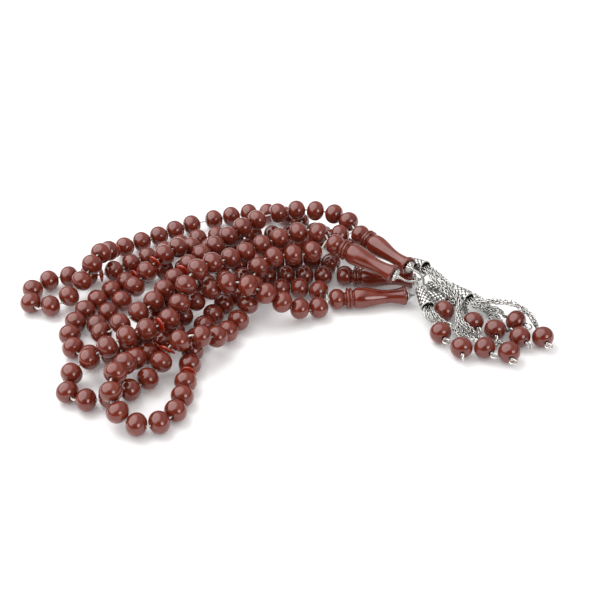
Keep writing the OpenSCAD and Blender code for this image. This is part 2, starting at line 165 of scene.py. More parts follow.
# For each string two bundles of chains, the right one first: the points that it passes,
# the centre of its pendant bead, the direction of the bead's headpin and the turn of its eye
PENDANTS = [
    [
        [
            [[59, -19, 7], [62, -21.5, 5], [65.5, -23, 4], [68, -26.5, 4], [68.8, -30, 4.4]],
            [69, -39, 5], [0, -1, 0], 0,
        ],
        [[[56, -20, 7.4], [57.8, -22, 6]], [61, -29, 5], [3, -9, 0], 90],
    ],
    [
        [[[71, -5, 3], [73.5, -8.5, 3], [74, -12.5, 4]], [76, -22, 5], [3, -8, 0], 0],
        [
            [[69, -6.6, 4], [70.8, -7.6, 4.5], [71, -9, 4.8], [70, -10, 5]],
            [64, -14, 5], [-8, -6, 0], 0,
        ],
    ],
    [
        [
            [[76, 2.5, 3], [83, -5, 3], [87, -14, 3], [89, -21.5, 2.6], [90.4, -25, 3]],
            [95, -32, 5], [5, -8, 0], 0,
        ],
        [[[75, 0, 3], [80, -7, 3], [83.5, -15, 4]], [85, -27, 5], [0, -1, 0], 0],
    ],
    [
        [
            [
                [61, 4, 13], [64.5, -2, 13], [68, -8, 12], [70.5, -13, 10], [70, -18, 8.5],
                [70, -23, 8], [72, -27.5, 7.5], [75, -30, 6], [78.5, -32, 3.2], [82, -33.3, 2.2],
                [86, -34, 3],
            ],
            [89, -42, 5], [1, -8, 0], 90,
        ],
        [
            [
                [59, 3, 12.5], [62, -3, 11.5], [66, -8, 9.5], [70, -12, 7.5], [70.2, -16.5, 6],
                [69.6, -21, 5.4], [71, -27.5, 4], [73.5, -31.5, 4.4],
            ],
            [79, -39, 5], [5, -8, 0], 90,
        ],
    ],
    [
        [
            [[80, -13, 9.5], [85, -14, 10.5], [91, -16, 11.4], [96, -19.5, 12], [101, -24, 9.5]],
            [105, -32, 5], [1, -4, 0], 90,
        ],
        [[[78, -15, 8.5], [83.5, -15.5, 7.6], [88, -15.5, 6.5]], [95, -21, 5], [8, -6, 0], 0],
    ],
]

# Parts of the white tent that reflections show: direction, cosine where it starts, cosine where
# it is full, and brightness
TENT = [
    [(-0.59, 0.08, 0.8), 0.5, 0.85, 3.0],
    [(0.05, -0.95, 0.25), 0.72, 0.9, 0.03],
    [(0, 0, -1), -0.36, -0.12, 0.08],
    [(0.57, -0.7, 0.435), 0.955, 0.98, 5],
]
TENT_PLAIN = 0.6

# Camera, in metres
CAMERA_AT = Vector((0.0083, -0.3998, 0.32685))
CAMERA_AIM = Vector((0.0083, 0.0113, -0.00015))
LENS = 69
SENSOR = 36

rng = np.random.default_rng(33)


# ---------------------------------------------------------------- layout of the strings

def unit(v):
    return v / np.linalg.norm(v)


def smooth(points, steps):
    """Smooth curve through a list of points, with some steps from each to the next."""
    p = np.array(points, float)
    p = np.vstack([2 * p[0] - p[1], p, 2 * p[-1] - p[-2]])
    a, b, c, d = (q[:, None, :] for q in (p[:-3], p[1:-2], p[2:-1], p[3:]))
    t = (np.arange(steps) / steps)[None, :, None]
    curve = 2 * b + (c - a) * t + (2 * a - 5 * b + 4 * c - d) * t**2 + (3 * b - a - 3 * c + d) * t**3
    return np.vstack([curve.reshape(-1, p.shape[1]) / 2, p[-2]])


def reach(curve):
    """Distance along a curve to each of its points."""
    return np.concatenate([[0], np.cumsum(np.linalg.norm(np.diff(curve, axis=0), axis=1))])


def is_disc(i):
    return i in (FIRST_DISC, SECOND_DISC)


class Strand:
    """Where everything on one string is. The cord is straight from corner to corner."""

    def __init__(self, k):
        self.k = k
        self.curve = smooth(ROUTES[k], STEPS)
        self.reach = reach(self.curve)
        self.room = np.array([
            DISC_L if is_disc(i) else BEAD_L + (SLIDE_ROOM if i == SLIDERS[k] else 0)
            for i in range(PIECES)
        ])
        share = np.ones(PIECES + 1)
        share[[0, -1]] = 0.5
        self.gaps = share * (self.reach[-1] - self.room.sum()) / PIECES
        for _ in range(5):
            self.gaps = self.wider_at_turns(share)
        self.corners = self.at(self.stops())

    def at(self, s):
        """Points at distances s along the string, never lower than a lying bead's axis."""
        p = np.stack([np.interp(s, self.reach, self.curve[:, axis]) for axis in range(3)], -1)
        p[:, 2] = np.maximum(p[:, 2], LYING)
        return p

    def stops(self):
        """Distances of the middles of the gaps, with the two ends."""
        inner = np.cumsum(self.room)[:-1] + np.cumsum(self.gaps)[:-2] + self.gaps[1:-1] / 2
        return np.concatenate([[0], inner, [self.reach[-1]]])

    def wider_at_turns(self, share):
        s = self.stops()
        p = self.at(s)
        step = np.diff(p, axis=0)
        size = np.linalg.norm(step, axis=1)
        slack = np.diff(s) - size
        half = np.arccos(np.minimum(1, (step[:-1] * step[1:]).sum(1) / size[:-1] / size[1:])) / 2
        extra = np.zeros(PIECES + 1)
        extra[1:-1] = (BEAD_L + (BEAD_D - BEAD_L) * np.sin(half)) / np.cos(half) - BEAD_L
        extra[1:-1] += (slack[:-1] + slack[1:]) / 2
        return extra + share * (self.reach[-1] - self.room.sum() - extra.sum()) / PIECES

    def heading(self, i):
        return unit(self.corners[i + 1] - self.corners[i])

    def middle(self, i):
        before = self.gaps[0] if i == 0 else self.gaps[i] / 2
        after = self.gaps[-1] if i == PIECES - 1 else self.gaps[i + 1] / 2
        half = (DISC_L if is_disc(i) else BEAD_L) / 2
        part = (before + half) / (before + self.room[i] + after)
        return self.corners[i] + (self.corners[i + 1] - self.corners[i]) * part


def imam_axis(k):
    return unit(np.subtract(*IMAMS[k][::-1]).astype(float))


def in_imam(k, h, offset=0.0):
    """A point in imam k, at a distance h from its mouth, beside its axis."""
    side = unit(np.cross(imam_axis(k), UP))
    return np.array(IMAMS[k][0]) + imam_axis(k) * h + side * offset


def cap_axis(k):
    return unit(np.subtract(*CAPS[k][::-1]).astype(float))


def cap_point(k, h, offset=0.0):
    side = unit(np.cross(cap_axis(k), UP))
    return np.array(CAPS[k][0]) + cap_axis(k) * h + side * offset


def pin_axis(k, n):
    return unit(np.array(PENDANTS[k][n][2], float))


# ---------------------------------------------------------------- mesh making

def quads(rows, sides, closed):
    """Faces between rows of points, each row a ring. A closed grid joins its last row to its first."""
    i = np.arange(rows if closed else rows - 1)[:, None]
    j = np.arange(sides)[None, :]
    on, beside = (i + 1) % rows, (j + 1) % sides
    corners = [i * sides + j, i * sides + beside, on * sides + beside, on * sides + j]
    return np.stack(corners, -1).reshape(-1, 4)


def volume(points, faces):
    a, b, c = (points[faces[:, j]] for j in range(3))
    total = np.einsum("ij,ij->", a, np.cross(b, c))
    if faces.shape[1] == 4:
        d = points[faces[:, 3]]
        total += np.einsum("ij,ij->", a, np.cross(c, d))
    return total


class Shape:
    """Closed surfaces of one piece, in millimetres and with material numbers."""

    def __init__(self):
        self.points = []
        self.faces = []
        self.slots = []
        self.count = 0

    def add(self, points, groups, slot=0):
        """Adds one closed surface: its points, and arrays of faces that are turned to face out."""
        points = points + SHIFT
        centred = points - points.mean(0)
        if sum(volume(centred, f) for f in groups) < 0:
            groups = [f[:, ::-1] for f in groups]
        for n, f in enumerate(groups):
            self.faces.append(f + self.count)
            self.slots.append(np.broadcast_to(slot if n == 0 or np.ndim(slot) == 0 else 0, len(f)))
        self.points.append(points)
        self.count += len(points)

    def grid(self, rings, closed=False, slot=0):
        """Adds rings of points: joined end to end, or with a flat cap at each end."""
        rows, sides = rings.shape[:2]
        points = rings.reshape(-1, 3)
        groups = [quads(rows, sides, closed)]
        if not closed:
            j = np.arange(sides)
            beside = (j + 1) % sides
            first, last = np.full(sides, len(points)), np.full(sides, len(points) + 1)
            end = (rows - 1) * sides
            points = np.vstack([points, rings[0].mean(0), rings[-1].mean(0)])
            groups.append(np.stack([beside, j, first], -1))
            groups.append(np.stack([end + j, end + beside, last], -1))
        self.add(points, groups, slot)

    def build(self, name, materials):
        points = np.concatenate(self.points) * MM
        corners = np.concatenate([f.ravel() for f in self.faces])
        sizes = np.concatenate([np.full(len(f), f.shape[1]) for f in self.faces])
        mesh = bpy.data.meshes.new(name)
        mesh.vertices.add(len(points))
        mesh.vertices.foreach_set("co", points.astype(np.float32).ravel())
        mesh.loops.add(len(corners))
        mesh.loops.foreach_set("vertex_index", corners.astype(np.int32))
        mesh.polygons.add(len(sizes))
        starts = np.concatenate([[0], np.cumsum(sizes)[:-1]])
        mesh.polygons.foreach_set("loop_start", starts.astype(np.int32))
        mesh.polygons.foreach_set("material_index", np.concatenate(self.slots).astype(np.int32))
        mesh.update(calc_edges=True)
        mesh.validate()
        mesh.shade_smooth()
        for m in materials:
            mesh.materials.append(m)
        piece = bpy.data.objects.new(name, mesh)
        bpy.context.scene.collection.objects.link(piece)
        return piece


def basis(axis):
    """Two directions across an axis."""
    side = unit(np.cross(axis, UP) if abs(axis[2]) < 0.95 else np.cross(axis, [0, 1.0, 0]))
    return side, np.cross(side, axis)


def lathe(shape, profile, origin, axis, sides, closed=True, flute=None):
    """Turns a profile of [radius, height] about an axis. flute(angle, height) scales the radius."""
    profile = np.array(profile, float)
    angle = np.linspace(0, 2 * math.pi, sides, endpoint=False)
    side, over = basis(axis)
    radius = profile[:, 0:1] * (1 if flute is None else flute(angle[None, :], profile[:, 1:2]))
    radius = radius * np.ones_like(angle)[None, :]
    rings = (
        origin
        + profile[:, 1, None, None] * axis
        + (radius * np.cos(angle))[:, :, None] * side
        + (radius * np.sin(angle))[:, :, None] * over
    )
    shape.grid(rings, closed)


def frames(path):
    """Direction and two cross directions at each point of a path, turning as little as they can."""
    ahead = np.gradient(path, axis=0)
    ahead /= np.linalg.norm(ahead, axis=1)[:, None]
    side = np.empty_like(path)
    side[0] = basis(ahead[0])[0]
    for i in range(1, len(path)):
        side[i] = unit(side[i - 1] - ahead[i] * (side[i - 1] @ ahead[i]))
    return ahead, side, np.cross(ahead, side)


def resample(path, pitch):
    """The same path with points an even distance apart."""
    s = reach(path)
    count = max(4, round(s[-1] / pitch) + 1)
    even = np.linspace(0, s[-1], count)
    return np.stack([np.interp(even, s, path[:, axis]) for axis in range(3)], -1), even


def sweep(shape, path, radius, sides, closed=False):
    """Tube along a path. radius is a number, or an array with one number for each point and side."""
    if closed:
        path = np.vstack([path[-1], path, path[0]])
    _, side, over = frames(path)
    if closed:
        path, side, over = path[1:-1], side[1:-1], over[1:-1]
    angle = np.linspace(0, 2 * math.pi, sides, endpoint=False)
    r = np.broadcast_to(radius, (len(path), sides))[:, :, None]
    around = side[:, None, :] * np.cos(angle)[:, None] + over[:, None, :] * np.sin(angle)[:, None]
    shape.grid(path[:, None, :] + around * r, closed)


def wound(path, offset, pitch, phase):
    """A path that winds round another at some distance, one turn for each pitch."""
    _, side, over = frames(path)
    turn = (reach(path) / pitch * 2 * math.pi + phase)[:, None]
    return path + (side * np.cos(turn) + over * np.sin(turn)) * offset


# ---------------------------------------------------------------- the pieces

def arc(centre, radius, start, end, count):
    """Points of an arc in a profile; its angles are in degrees from the outward direction."""
    a = np.radians(np.linspace(start, end, count))
    return [[centre[0] + radius * math.cos(t), centre[1] + radius * math.sin(t)] for t in a]


def bead_profile():
    """Rounded sides, softened edges where the bore comes out, and the bore."""
    r, soft = BEAD_L / 2, 0.4
    lip = BORE_D / 2 + soft
    outer = math.degrees(math.acos((lip + 0.1 - (BEAD_D - BEAD_L) / 2) / r))
    side = arc([(BEAD_D - BEAD_L) / 2, 0], r, -outer, outer, 25)
    edge_z = side[-1][1] - soft
    top = arc([lip, edge_z], soft, 80, 180, 5)
    bottom = arc([lip, -edge_z], soft, 180, 280, 5)
    return side + top + [[BORE_D / 2, 0]] + bottom


def add_bead(shape, origin, axis):
    """One bead. No two are turned quite alike, so each is up to one hundredth smaller."""
    size = 1 - 0.012 * rng.random()
    profile = np.array(bead_profile()) * [size, 1 - 0.01 * rng.random()]
    lathe(shape, profile, origin, axis, 48)


def disc_profile():
    half, bore = DISC_L / 2, BORE_D / 2
    radii = np.linspace(bore + 0.2, DISC_D / 2 - 0.12, 9)
    heights = half - (half - DISC_RIM / 2) * (2 * radii / DISC_D) ** 2
    upper = [[r, h] for r, h in zip(radii, heights)]
    rim = arc([DISC_D / 2 - 0.3, 0], 0.3, 50, -50, 7)
    lower = [[r, -h] for r, h in upper[::-1]]
    hole = [[bore, -half + 0.25], [bore, half - 0.25]]
    return upper + rim + lower + hole


# Outside of the imam: distance from its mouth, and radius
IMAM_OUTLINE = [
    [0, 1.9], [0.15, 2.5], [0.7, 3.35], [1.6, 4.15], [2.7, 4.62], [3.8, 4.7], [5, 4.45],
    [6, 3.85], [6.7, 3.2], [7, 2.9], [7.3, 2.9], [7.5, 3.2], [7.65, 3.8], [7.85, 4.45],
    [8.2, 4.8], [8.65, 4.75], [8.95, 4.42], [9.05, 4.15], [9.2, 4.15], [9.3, 4.42], [9.6, 4.75],
    [10, 4.8], [10.35, 4.45], [10.5, 3.95], [10.65, 3.65], [10.95, 3.65], [11.3, 3.95],
    [12.1, 4.5], [13.3, 4.76], [14.6, 4.82], [16.2, 4.74], [18, 4.46], [20, 4.08], [22.5, 3.55],
    [25, 3.2], [27.5, 3.08], [29.5, 3.2], [31.5, 3.5], [32.9, 3.86], [33.3, 3.95], [33.45, 4.2],
    [33.9, 4.36], [34.5, 4.34], [34.9, 4.15], [35, 3.9],
]


def imam_profile():
    """Turned outside, the hollow end face, and the stepped bore."""
    outside = [[r, h] for h, r in smooth(IMAM_OUTLINE, 3)]
    face = [[3.3, IMAM_L - 0.05], [2.9, IMAM_L - 0.45], [POCKET_D / 2 + 0.3, IMAM_L - 0.55]]
    floor = IMAM_L - POCKET_DEPTH
    pocket = [[POCKET_D / 2, IMAM_L - 0.8], [POCKET_D / 2, floor], [IMAM_BORE_D / 2, floor]]
    mouth = [[IMAM_BORE_D / 2, 1.6], [1.35, 0.7], [1.65, 0.15]]
    return outside + face + pocket + mouth


def add_cord(shape, strand):
    """Cord of three twisted yarns, through every bead and back into the imam to its knot."""
    k, corners = strand.k, strand.corners
    right = unit(np.cross(imam_axis(k), UP)) @ (corners[0] - in_imam(k, 0)) > 0
    side = RUN_OFFSET if right else -RUN_OFFSET
    depths = [KNOT_START - SEAM, 20, 10, 2.4, -0.8]
    path = np.vstack([
        [in_imam(k, h, side) for h in depths],
        corners,
        [in_imam(k, h, -side) for h in depths[::-1]],
    ])
    rounded = [path[0]]
    for before, here, after in zip(path[:-2], path[1:-1], path[2:]):
        back, on = here - unit(here - before) * CORD_BEND, here + unit(after - here) * CORD_BEND
        rounded += [back, (back + 2 * here + on) / 4, on]
    path, s = resample(np.array(rounded + [path[-1]]), 0.3)
    sides = 12
    angle = np.linspace(0, 2 * math.pi, sides, endpoint=False)
    lobes = np.cos(3 * angle[None, :] - s[:, None] * 2 * math.pi / CORD_LAY)
    fuzz = 1 + CORD_FUZZ * rng.standard_normal((len(path), sides))
    sweep(shape, path, (CORD_R + CORD_LOBE * lobes) * fuzz, sides)
    add_knot(shape, k)


def add_knot(shape, k):
    """Overhand knot in the imam's pocket: a trefoil."""
    t = np.linspace(0, 2 * math.pi, 60, endpoint=False)
    axis = imam_axis(k)
    side, over = basis(axis)
    x, y, z = np.sin(t) + 2 * np.sin(2 * t), np.cos(t) - 2 * np.cos(2 * t), -np.sin(3 * t)
    centre = in_imam(k, (KNOT_START + KNOT_END) / 2)
    path = centre + 0.34 * (x[:, None] * side + y[:, None] * over) + 0.5 * z[:, None] * axis
    sweep(shape, path, 0.42, 10, closed=True)


def petals(angle, height):
    """Scale of the cup's radius: twelve petals that fade out towards its neck."""
    fade = np.clip((CUP_END - 0.6 - height) / 1.2, 0, 1)
    return 1 + 0.07 * np.cos(12 * angle) * fade


def add_bail(shape, k):
    """Stem from the knot, petalled cup at the imam's end, and two wires twisted together."""
    axis, mouth = imam_axis(k), in_imam(k, 0)
    cup = [
        [0.8, CUP_START + 0.3], [1.7, CUP_START + 0.12], [2.3, CUP_START], [2.62, CUP_START + 0.1],
        [2.7, CUP_START + 0.45], [2.5, CUP_START + 0.95], [2.05, CUP_START + 1.35],
        [1.4, CUP_START + 1.7], [1.0, CUP_START + 1.95], [0.98, CUP_END - 0.25], [0.75, CUP_END],
    ]
    lathe(shape, cup, mouth, axis, 96, closed=False, flute=petals)
    stem = [
        [0.55, KNOT_END + SEAM], [0.75, KNOT_END + 0.25], [0.6, KNOT_END + 0.6],
        [0.6, CUP_START + 0.4],
    ]
    lathe(shape, stem, mouth, axis, 24, closed=False)
    points = [in_imam(k, CUP_END - 0.3), in_imam(k, CUP_END + 0.8), *LINKS[k], cap_point(k, -1.2)]
    path, _ = resample(np.vstack([smooth(points, STEPS), cap_point(k, 0.3)]), 0.25)
    for phase in (0, math.pi):
        sweep(shape, wound(path, 0.27, 2.2, phase), 0.27, 10)
    loop = ring_path(in_imam(k, CUP_END + 0.25), axis, 0.62)
    sweep(shape, loop, 0.24, 10, closed=True)


def ring_path(centre, axis, radius):
    """A circle round an axis."""
    side, over = basis(axis)
    t = np.linspace(0, 2 * math.pi, 36, endpoint=False)[:, None]
    return centre + (side * np.cos(t) + over * np.sin(t)) * radius


CAP_OUTLINE = [[0, 0.3], [0.8, 0.58], [2, 0.7], [4, 0.78], [7.5, 0.9], [12.5, 1]]


def cap_radius(h):
    """Outer radius of a cap at a distance from its top."""
    heights, shares = np.array(CAP_OUTLINE).T
    return CAP_R * np.interp(h, heights, shares)


def quilt(h, angle, strands=8, diamond=2.5):
    """How far a place on the cap is from its grooves: 0 in a groove, 1 in the middle of a diamond."""
    a = strands * angle / (2 * math.pi)
    return np.abs(np.sin(math.pi * (a + h / diamond)) * np.sin(math.pi * (a - h / diamond)))


def add_cap(shape, k):
    """Bell of raised diamonds between crossing grooves, with roped rims and a hollow. The grooves and the
    hollow's inside take the second, darker metal, which is painted shade.
    """
    origin, axis = cap_point(k, 0), cap_axis(k)
    depth, groove, sides = 0.4, 0.34, 128
    inner_floor = CAP_L - CAP_HOLLOW
    angle = np.linspace(0, 2 * math.pi, sides, endpoint=False)[None, :]
    outer_h = np.linspace(0.8, CAP_L - 0.2, 100)[:, None]
    inner_h = np.linspace(CAP_L - 0.2, inner_floor, 8)[:, None]
    outer_r = cap_radius(outer_h) - depth * (1 - quilt(outer_h, angle) ** 0.4)
    inner_r = cap_radius(inner_h) - CAP_WALL + 0 * angle
    heights = np.vstack([[[0.35]], outer_h, inner_h, [[inner_floor]]])
    radii = np.vstack([0 * angle + 0.3, outer_r, inner_r, 0 * angle + 0.3])
    side, over = basis(axis)
    rings = (
        origin
        + heights[:, :, None] * axis
        + (radii * np.cos(angle))[:, :, None] * side
        + (radii * np.sin(angle))[:, :, None] * over
    )
    # Painted shade: the grooves, and the whole inside of the hollow, get the darker second material.
    dark = quilt(heights, angle + math.pi / sides) < groove
    dark[len(outer_h):] = True
    shape.grid(rings, closed=True, slot=dark.astype(int).ravel())
    add_rope(shape, origin + axis * (CAP_L - 0.3), axis, CAP_R - 0.38, 0.23, 11)
    add_rope(shape, origin + axis * 0.85, axis, cap_radius(0.85) - 0.2, 0.2, 7)
    dome = [[0.3, -0.1], [0.7, -0.05], [1.05, 0.15], [1.45, 0.5], [1.6, 0.8], [1.2, 0.95]]
    lathe(shape, dome, origin, axis, 32, closed=False)


def add_rope(shape, centre, axis, radius, wire, turns):
    """A ring of two wires twisted together."""
    t = np.linspace(0, 2 * math.pi, 24 * turns, endpoint=False)[:, None]
    side, over = basis(axis)
    outward = side * np.cos(t) + over * np.sin(t)
    for phase in (0, math.pi):
        twist = t * turns + phase
        out, along = wire * 0.9 * np.cos(twist), axis * wire * 0.9 * np.sin(twist)
        path = centre + outward * (radius + out) + along
        sweep(shape, path, wire, 8, closed=True)


def link_template(length=2.5, width=1.55, wire=0.2, sides=6):
    """Points of one oval chain link: rings about its middle, long way on X and flat way on Y."""
    run, bend = (length - width) / 2, width / 2 - wire
    a = np.radians(np.linspace(-90, 90, 7))
    right = np.stack([run + bend * np.cos(a), bend * np.sin(a), 0 * a], -1)
    line = np.vstack([right, right * [-1, -1, 1]])
    ahead = np.roll(line, -1, axis=0) - np.roll(line, 1, axis=0)
    ahead /= np.linalg.norm(ahead, axis=1)[:, None]
    out = np.cross(ahead, UP)
    t = np.linspace(0, 2 * math.pi, sides, endpoint=False)[:, None]
    return line[:, None, :] + (out[:, None, :] * np.cos(t) + UP * np.sin(t)) * wire


def add_chain(shape, path, phase):
    """Oval links along a path, each turned a quarter from the one before."""
    path, _ = resample(path, LINK_PITCH)
    ahead, side, over = frames(path)
    template = link_template()
    for i, centre in enumerate(path):
        roll = phase + (math.pi / 2 if i % 2 else 0) + rng.normal(0, LINK_SWAY)
        tilt = side[i] * rng.normal(0, LINK_TILT) + over[i] * rng.normal(0, LINK_TILT)
        x = unit(ahead[i] + tilt)
        y = unit(np.cross(side[i] * math.cos(roll) + over[i] * math.sin(roll), x))
        shape.grid(centre + template @ np.stack([x, y, np.cross(x, y)]), closed=True)


def add_bundle(shape, k, n):
    """Fine chains twisted together, from inside the cap to the inner eye of the headpin."""
    offset = -BUNDLE_OFFSET if n == 0 else BUNDLE_OFFSET
    points, centre, _, _ = PENDANTS[k][n]
    axis = pin_axis(k, n)
    start = [cap_point(k, CAP_L - CAP_HOLLOW + 0.6, offset), cap_point(k, CAP_L + 0.5, offset)]
    end = np.array(centre) - axis * (PIN_INNER + 0.5)
    path, s = resample(smooth([*start, *points, end], STEPS), 0.3)
    spread = BUNDLE_CORE + BUNDLE_FLARE * np.clip((s - CAP_HOLLOW) / 4, 0, 1)
    spread = (spread * np.clip((s[-1] - s + 0.3) / 4, 0, 1))[:, None]
    for j in range(CHAINS):
        add_chain(shape, wound(path, spread, BUNDLE_TWIST, 2 * math.pi / CHAINS * j), 1.1 * j)


def add_headpin(shape, k, n):
    """Wire through a pendant bead: a small eye for the chains, and a large one wrapped shut."""
    _, centre, _, turn = PENDANTS[k][n]
    axis = pin_axis(k, n)
    side, over = basis(axis)
    lie = side if turn == 90 else over
    neck = BEAD_L / 2 + 0.35
    inner_r = 0.72
    t = np.linspace(0, 2 * math.pi, 30)
    small = [
        [inner_r * math.sin(a), -neck - inner_r - 0.15 + inner_r * math.cos(a)]
        for a in t[:-2][::-1]
    ]
    loop = [[-EYE_R * math.sin(a), PIN_OUTER - EYE_R * math.cos(a)] for a in t[1:]]
    flat = np.array(small + [[0, -neck + 0.5], [0, 0], [0, neck - 0.4]] + loop)
    path = np.array(centre) + flat[:, 0:1] * lie + flat[:, 1:2] * axis
    cross = np.cross(axis, lie)
    w = np.linspace(0, 3 * math.pi, 36)
    round_neck = (
        np.array(centre)
        + axis * (PIN_OUTER - EYE_R + 0.1 - 0.33 * w / w[-1])[:, None]
        + (lie * np.cos(w)[:, None] + cross * np.sin(w)[:, None]) * 0.58
    )
    sweep(shape, resample(path, 0.22)[0], PIN_WIRE_R, 10)
    sweep(shape, round_neck, 0.25, 8)


# ---------------------------------------------------------------- materials

def material(name, **values):
    """A new material, and its nodes, links and shader. values set the shader's own sockets."""
    m = bpy.data.materials.new(name)
    m.use_nodes = True
    shader = m.node_tree.nodes["Principled BSDF"]
    for key, value in values.items():
        shader.inputs[key.replace("_", " ")].default_value = value
    return m, m.node_tree.nodes, m.node_tree.links, shader


def noise(nodes, links, scale, detail):
    """Noise over the piece's own place, so it moves with the piece. Returns its value."""
    place = nodes.new("ShaderNodeTexCoord")
    texture = nodes.new("ShaderNodeTexNoise")
    texture.inputs["Scale"].default_value = scale
    texture.inputs["Detail"].default_value = detail
    links.new(place.outputs["Object"], texture.inputs["Vector"])
    return texture.outputs["Fac"]


def grey(value):
    return (value, value, value, 1)


def ramp(nodes, links, value, stops):
    node = nodes.new("ShaderNodeValToRGB")
    node.color_ramp.elements[0].position, node.color_ramp.elements[0].color = stops[0]
    node.color_ramp.elements[1].position, node.color_ramp.elements[1].color = stops[-1]
    for position, colour in stops[1:-1]:
        node.color_ramp.elements.new(position).color = colour
    links.new(value, node.inputs["Fac"])
    return node.outputs["Color"]


def mix(nodes, links, share, a, b, blend="MIX"):
    node = nodes.new("ShaderNodeMix")
    node.data_type = "RGBA"
    node.blend_type = blend
    for key, value in (("Factor", share), ("A", a), ("B", b)):
        if isinstance(value, bpy.types.NodeSocket):
            links.new(value, node.inputs[key])
        else:
            node.inputs[key].default_value = value
    return node.outputs["Result"]


def scaled(nodes, links, value, low, high):
    node = nodes.new("ShaderNodeMapRange")
    node.inputs["To Min"].default_value = low
    node.inputs["To Max"].default_value = high
    links.new(value, node.inputs["Value"])
    return node.outputs["Result"]


def bump(nodes, links, shader, height, strength, distance):
    node = nodes.new("ShaderNodeBump")
    node.inputs["Strength"].default_value = strength
    node.inputs["Distance"].default_value = distance
    links.new(height, node.inputs["Height"])
    links.new(node.outputs["Normal"], shader.inputs["Normal"])


def resin_material():
    """Polished maroon resin: cloudy colour, a little different on each bead, fine wear in the gloss."""
    m, nodes, links, shader = material("resin", IOR=1.5, Coat_Weight=0.5, Coat_Roughness=0.03)
    cloud = noise(nodes, links, 260, 4)
    colour = ramp(nodes, links, cloud, [
        (0.3, (0.145, 0.0165, 0.0065, 1)), (0.52, (0.175, 0.022, 0.0095, 1)),
        (0.75, (0.21, 0.03, 0.013, 1)),
    ])
    island = nodes.new("ShaderNodeNewGeometry").outputs["Random Per Island"]
    shade = ramp(nodes, links, island, [(0, (0.88, 0.86, 0.86, 1)), (1, grey(1))])
    links.new(mix(nodes, links, 1.0, colour, shade, "MULTIPLY"), shader.inputs["Base Color"])
    haze = noise(nodes, links, 900, 5)
    links.new(scaled(nodes, links, haze, 0.08, 0.2), shader.inputs["Roughness"])
    bump(nodes, links, shader, noise(nodes, links, 1400, 3), 0.05, 0.0001)
    return m


def disc_material():
    """Clearer orange-red resin, lighter towards its thin rim."""
    m, nodes, links, shader = material(
        "disc", IOR=1.5, Transmission_Weight=0.3, Subsurface_Weight=0.4, Subsurface_Scale=0.0015,
        Subsurface_Radius=(1.0, 0.2, 0.08), Coat_Weight=0.3, Coat_Roughness=0.05,
    )
    cloud = noise(nodes, links, 500, 3)
    colour = ramp(nodes, links, cloud, [(0.3, (0.33, 0.018, 0.005, 1)), (0.7, (0.5, 0.04, 0.01, 1))])
    links.new(colour, shader.inputs["Base Color"])
    links.new(scaled(nodes, links, noise(nodes, links, 1100, 3), 0.12, 0.25), shader.inputs["Roughness"])
    bump(nodes, links, shader, cloud, 0.05, 0.0001)
    return m


def cord_material():
    """White polyester cord with fine fibres."""
    m, nodes, links, shader = material("cord", Sheen_Weight=0.3, Sheen_Roughness=0.4, IOR=1.45)
    fibre = noise(nodes, links, 5200, 4)
    soil = noise(nodes, links, 120, 3)
    light = ramp(nodes, links, fibre, [(0.25, (0.55, 0.53, 0.49, 1)), (0.6, (0.88, 0.87, 0.84, 1))])
    tint = ramp(nodes, links, soil, [(0.35, (0.92, 0.88, 0.8, 1)), (0.6, grey(1))])
    links.new(mix(nodes, links, 1.0, light, tint, "MULTIPLY"), shader.inputs["Base Color"])
    links.new(scaled(nodes, links, fibre, 0.6, 0.9), shader.inputs["Roughness"])
    bump(nodes, links, shader, fibre, 0.5, 0.00012)
    return m


def silver_material(name, bright, dark, worn):
    """Plated metal with painted shade: an ambient occlusion node darkens its colour where it is closed
    in, and it stays bright where it stands proud.
    """
    m, nodes, links, shader = material(name, Metallic=1.0)
    hollow = nodes.new("ShaderNodeAmbientOcclusion")
    hollow.samples = 8
    hollow.inputs["Distance"].default_value = 0.0016
    patina = noise(nodes, links, 1500, 5)
    plate = mix(nodes, links, patina, (*[c * 0.82 for c in bright], 1), (*bright, 1))
    # Painted shade: the colour fades to the dark colour where ambient occlusion finds the metal closed
    # in.
    unshaded_share = ramp(nodes, links, hollow.outputs["AO"], [(0.38, grey(0)), (0.7, grey(1))])
    links.new(mix(nodes, links, unshaded_share, (*dark, 1), plate), shader.inputs["Base Color"])
    links.new(scaled(nodes, links, patina, worn, worn + 0.22), shader.inputs["Roughness"])
    bump(nodes, links, shader, patina, 0.15, 0.0001)
    return m


def floor_material():
    """Matt white table, faintly lit from below."""
    m, nodes, links, shader = material("floor_white", Roughness=0.85, Specular_IOR_Level=0.2)
    shader.inputs["Emission Color"].default_value = grey(1)
    shader.inputs["Emission Strength"].default_value = 0.08
    grain = noise(nodes, links, 700, 3)
    colour = ramp(nodes, links, grain, [(0.3, grey(0.92)), (0.7, grey(0.94))])
    links.new(colour, shader.inputs["Base Color"])
    return m


# ---------------------------------------------------------------- camera, light and floor

def make_camera():
    data = bpy.data.cameras.new("camera")
    data.lens = LENS
    data.sensor_width = SENSOR
    data.clip_start = 0.01
    camera = bpy.data.objects.new("camera", data)
    camera.location = CAMERA_AT
    camera.rotation_euler = (CAMERA_AIM - CAMERA_AT).to_track_quat("-Z", "Y").to_euler()
    bpy.context.scene.collection.objects.link(camera)
    bpy.context.scene.camera = camera


def area_light(name, at, aim, size, power):
    data = bpy.data.lights.new(name, "AREA")
    data.shape = "RECTANGLE"
    data.size, data.size_y = size
    data.energy = power
    light = bpy.data.objects.new(name, data)
    light.location = at
    light.rotation_euler = (Vector(aim) - Vector(at)).to_track_quat("-Z", "Y").to_euler()
    light.visible_glossy = False
    bpy.context.scene.collection.objects.link(light)


